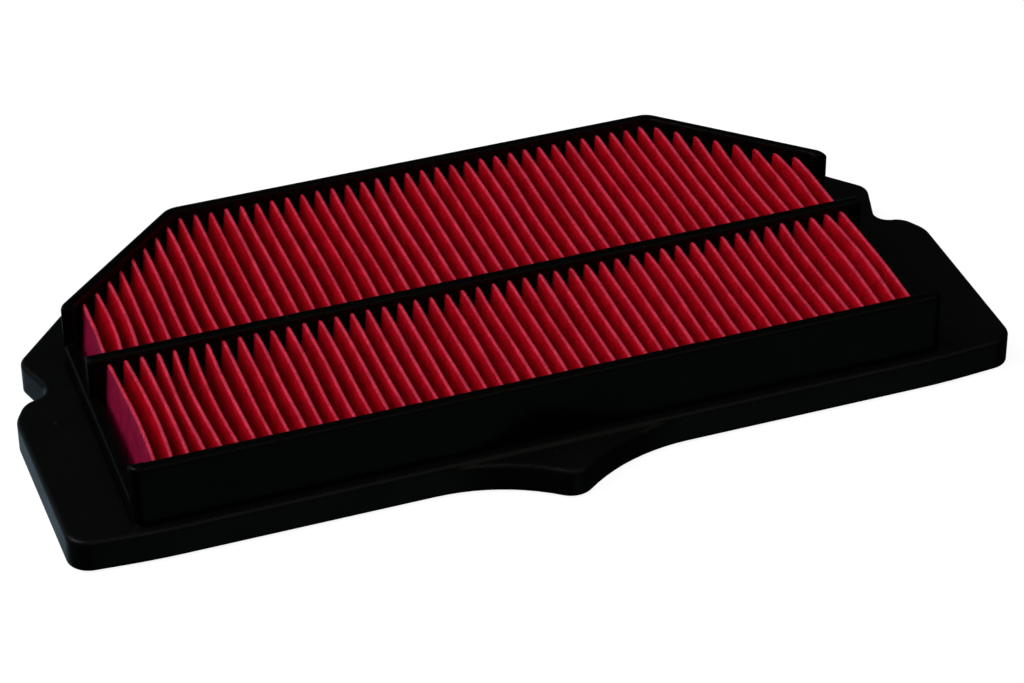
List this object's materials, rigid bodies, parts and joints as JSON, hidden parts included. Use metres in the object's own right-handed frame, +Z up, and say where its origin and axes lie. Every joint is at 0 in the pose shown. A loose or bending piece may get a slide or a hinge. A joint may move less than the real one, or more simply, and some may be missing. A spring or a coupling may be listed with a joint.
{
  "type": "panel air filter",
  "caption": "Pleated panel air filter for a motorcycle airbox: hexagonal walled frame, skirted flange with front tab and side notches, centre bar, two pleat packs.",
  "frame": {"origin": "centre of the bounding box, at the level of the seal's underside", "axes": "+X along the filter's length, +Y from the tab towards the rear, +Z up from the seal to the raised rim"},
  "size_m": [0.3318, 0.175, 0.0348],
  "materials": {
    "frame_plastic": "moulded black polypropylene, smooth and glossy",
    "filter_paper": "red oil-wetted pleated filter paper",
    "potting_glue": "black cast polyurethane",
    "bead_glue": "hot-melt glue, slightly translucent",
    "seal_rubber": "closed-cell black foam rubber"
  },
  "bodies": {
    "root": {"base_flange": "frame_plastic", "upper_frame": "frame_plastic", "centre_bar": "frame_plastic", "outlet_grid": "frame_plastic", "front_pleat_pack": "filter_paper", "rear_pleat_pack": "filter_paper", "front_potting": "potting_glue", "rear_potting": "potting_glue", "front_spacer_beads": "bead_glue", "rear_spacer_beads": "bead_glue", "flange_seal": "seal_rubber"}
  },
  "joints": []
}
